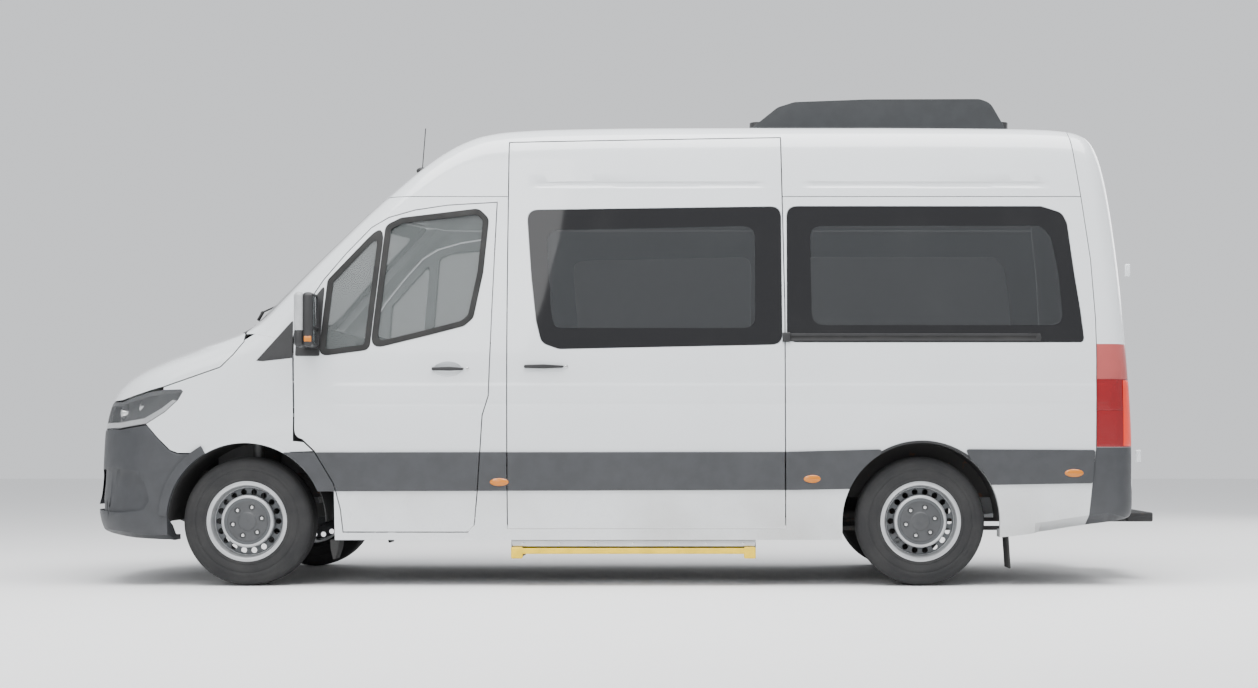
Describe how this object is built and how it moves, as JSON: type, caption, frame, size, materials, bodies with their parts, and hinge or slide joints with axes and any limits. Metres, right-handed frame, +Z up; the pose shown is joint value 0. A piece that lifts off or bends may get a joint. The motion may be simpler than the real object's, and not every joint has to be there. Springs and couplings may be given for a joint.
{
  "type": "high-roof minibus",
  "caption": "High-roof passenger minibus that rolls on four wheels, with steering front wheels, opening front and rear doors, a lifting bonnet and a sliding side step.",
  "frame": {"origin": "on the ground, below the middle of the overall length and width", "axes": "+X points to the rear (the vehicle faces -X), +Y to its right-hand side, +Z up"},
  "size_m": [6.034, 2.3786, 2.7145],
  "materials": {
    "body_paint": "gloss",
    "dark_bumper_plastic": "satin",
    "light_glass": "gloss",
    "privacy_glass": "gloss",
    "lamp_clear": "gloss",
    "lamp_red": "gloss",
    "cooler_plastic": "gloss",
    "mirror_plastic": "satin",
    "cabin_plastic": "matte",
    "seat_fabric": "woven",
    "engine_metal": "rough",
    "underbody_paint": "satin",
    "exhaust_steel": "dull",
    "step_yellow": "satin",
    "step_aluminium": "satin",
    "flap_rubber": "matte",
    "step_black": "ribbed",
    "tyre": "matte",
    "wheel_steel": "satin"
  },
  "bodies": {
    "body": {"floor_pan": "underbody_paint", "left_body_side": "body_paint", "right_body_side": "body_paint", "roof": "body_paint", "rear_frame": "body_paint", "left_wing": "body_paint", "right_wing": "body_paint", "windscreen": "light_glass", "scuttle": "dark_bumper_plastic", "grille": "body_paint", "front_bumper": "dark_bumper_plastic", "rear_bumper": "dark_bumper_plastic", "rear_step": "step_black", "headlamps": "lamp_clear", "tail_lamps": "lamp_red", "sliding_door": "body_paint", "side_windows": "privacy_glass", "air_conditioner": "cooler_plastic", "dashboard": "cabin_plastic", "steering_wheel": "cabin_plastic", "cab_seats": "seat_fabric", "passenger_seats": "seat_fabric", "engine": "engine_metal", "front_subframe": "underbody_paint", "rear_axle": "underbody_paint", "fuel_tank": "underbody_paint", "exhaust": "exhaust_steel", "step_housing": "step_aluminium", "mud_flaps": "flap_rubber"},
    "left_front_door": {"left_front_door": "body_paint", "left_door_window": "light_glass", "left_mirror": "mirror_plastic"},
    "right_front_door": {"right_front_door": "body_paint", "right_door_window": "light_glass", "right_mirror": "mirror_plastic"},
    "left_rear_door": {"left_rear_door": "body_paint", "left_rear_window": "privacy_glass"},
    "right_rear_door": {"right_rear_door": "body_paint", "right_rear_window": "privacy_glass"},
    "bonnet": {"bonnet": "body_paint"},
    "side_step": {"side_step": "step_yellow"},
    "left_knuckle": {"left_knuckle": "underbody_paint"},
    "right_knuckle": {"right_knuckle": "underbody_paint"},
    "front_left_wheel": {"front_left_tyre": "tyre", "front_left_rim": "wheel_steel"},
    "front_right_wheel": {"front_right_tyre": "tyre", "front_right_rim": "wheel_steel"},
    "rear_left_wheel": {"rear_left_tyre": "tyre", "rear_left_rim": "wheel_steel"},
    "rear_right_wheel": {"rear_right_tyre": "tyre", "rear_right_rim": "wheel_steel"}
  },
  "joints": [
    {"name": "left_front_door_hinge", "type": "hinge", "parent": "body", "child": "left_front_door", "pos_m": [-1.727, -0.981, 1.09], "axis": [0, 0, -1], "range_deg": [0, 70]},
    {"name": "right_front_door_hinge", "type": "hinge", "parent": "body", "child": "right_front_door", "pos_m": [-1.727, 0.981, 1.09], "axis": [0, 0, 1], "range_deg": [0, 70]},
    {"name": "left_rear_door_hinge", "type": "hinge", "parent": "body", "child": "left_rear_door", "pos_m": [2.843, -0.892, 0.707], "axis": [0.0579, 0, -0.9983], "range_deg": [0, 180]},
    {"name": "right_rear_door_hinge", "type": "hinge", "parent": "body", "child": "right_rear_door", "pos_m": [2.843, 0.892, 0.707], "axis": [-0.0579, 0, 0.9983], "range_deg": [0, 180]},
    {"name": "bonnet_hinge", "type": "hinge", "parent": "body", "child": "bonnet", "pos_m": [-2.027, 0, 1.388], "axis": [0, 1, 0], "range_deg": [0, 50]},
    {"name": "side_step_slide", "type": "slide", "parent": "body", "child": "side_step", "axis": [0, -1, 0], "range_m": [0, 0.25]},
    {"name": "left_steering", "type": "hinge", "parent": "body", "child": "left_knuckle", "pos_m": [-2.019, -0.7, 0.352], "axis": [0, 0, 1], "range_deg": [-38, 38]},
    {"name": "right_steering", "type": "hinge", "parent": "body", "child": "right_knuckle", "pos_m": [-2.019, 0.7, 0.352], "axis": [0, 0, 1], "range_deg": [-38, 38]},
    {"name": "front_left_wheel_spin", "type": "hinge", "parent": "left_knuckle", "child": "front_left_wheel", "pos_m": [-2.019, -0.855, 0.352], "axis": [0, 1, 0], "continuous": true},
    {"name": "front_right_wheel_spin", "type": "hinge", "parent": "right_knuckle", "child": "front_right_wheel", "pos_m": [-2.019, 0.855, 0.352], "axis": [0, 1, 0], "continuous": true},
    {"name": "rear_left_wheel_spin", "type": "hinge", "parent": "body", "child": "rear_left_wheel", "pos_m": [1.646, -0.855, 0.352], "axis": [0, 1, 0], "continuous": true},
    {"name": "rear_right_wheel_spin", "type": "hinge", "parent": "body", "child": "rear_right_wheel", "pos_m": [1.646, 0.855, 0.352], "axis": [0, 1, 0], "continuous": true}
  ],
  "couplings": [
    {"joint": "right_steering", "follows": "left_steering", "ratio": 1}
  ]
}
